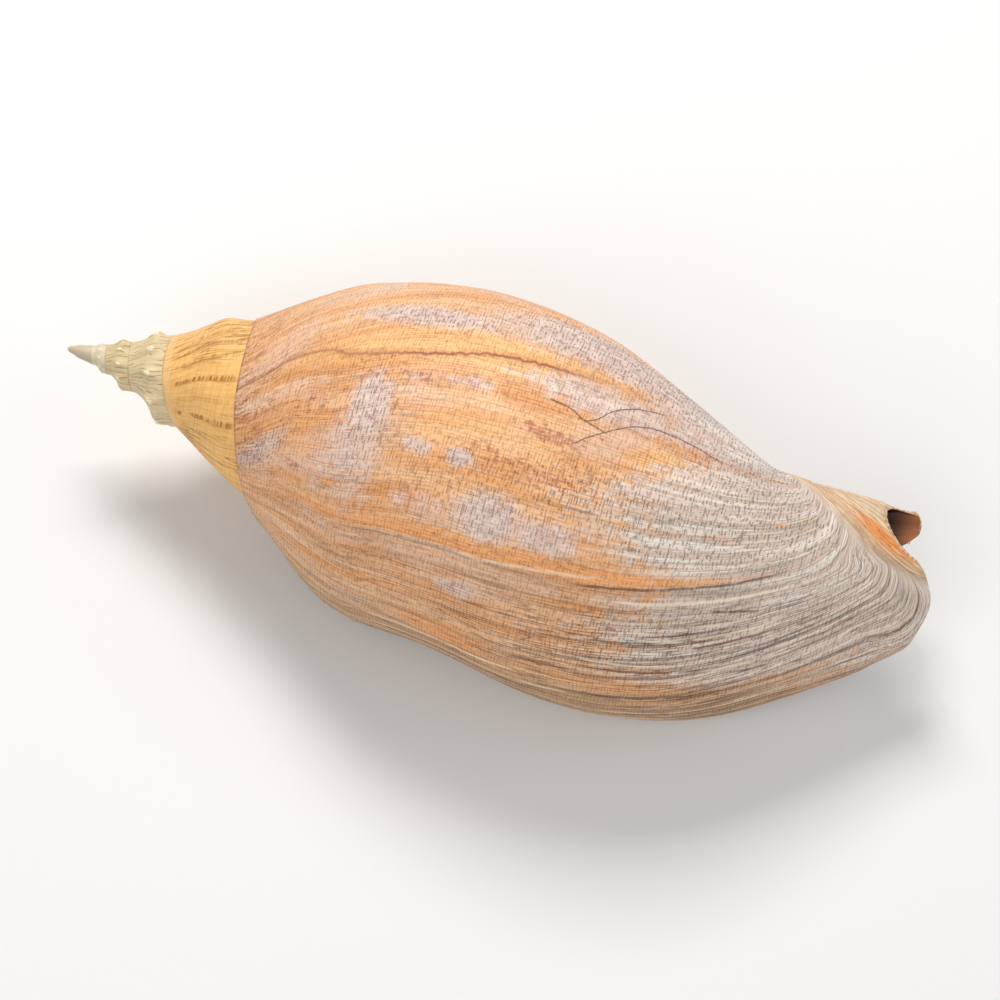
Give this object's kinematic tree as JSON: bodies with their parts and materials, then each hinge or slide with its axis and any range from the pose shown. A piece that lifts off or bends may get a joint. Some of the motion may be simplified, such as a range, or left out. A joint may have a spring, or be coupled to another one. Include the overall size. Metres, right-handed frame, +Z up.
{
  "type": "becks volute shell",
  "caption": "Large volute sea shell lying on its mouth: a knobbed spire, a long swollen last whorl, and an open mouth with a folded pillar and a thin lip.",
  "frame": {"origin": "on the surface that the shell rests on, below the middle of its bounding box", "axes": "+Z up; +X along the shell from the tip of the spire to the open end; the lip is on the -Y side"},
  "size_m": [0.3794, 0.1538, 0.1322],
  "materials": {
    "shell": "satin shell, orange to grey-white, with fine growth lines, brown blots and a worn surface"
  },
  "bodies": {
    "root": {"shell": "shell"}
  },
  "joints": []
}
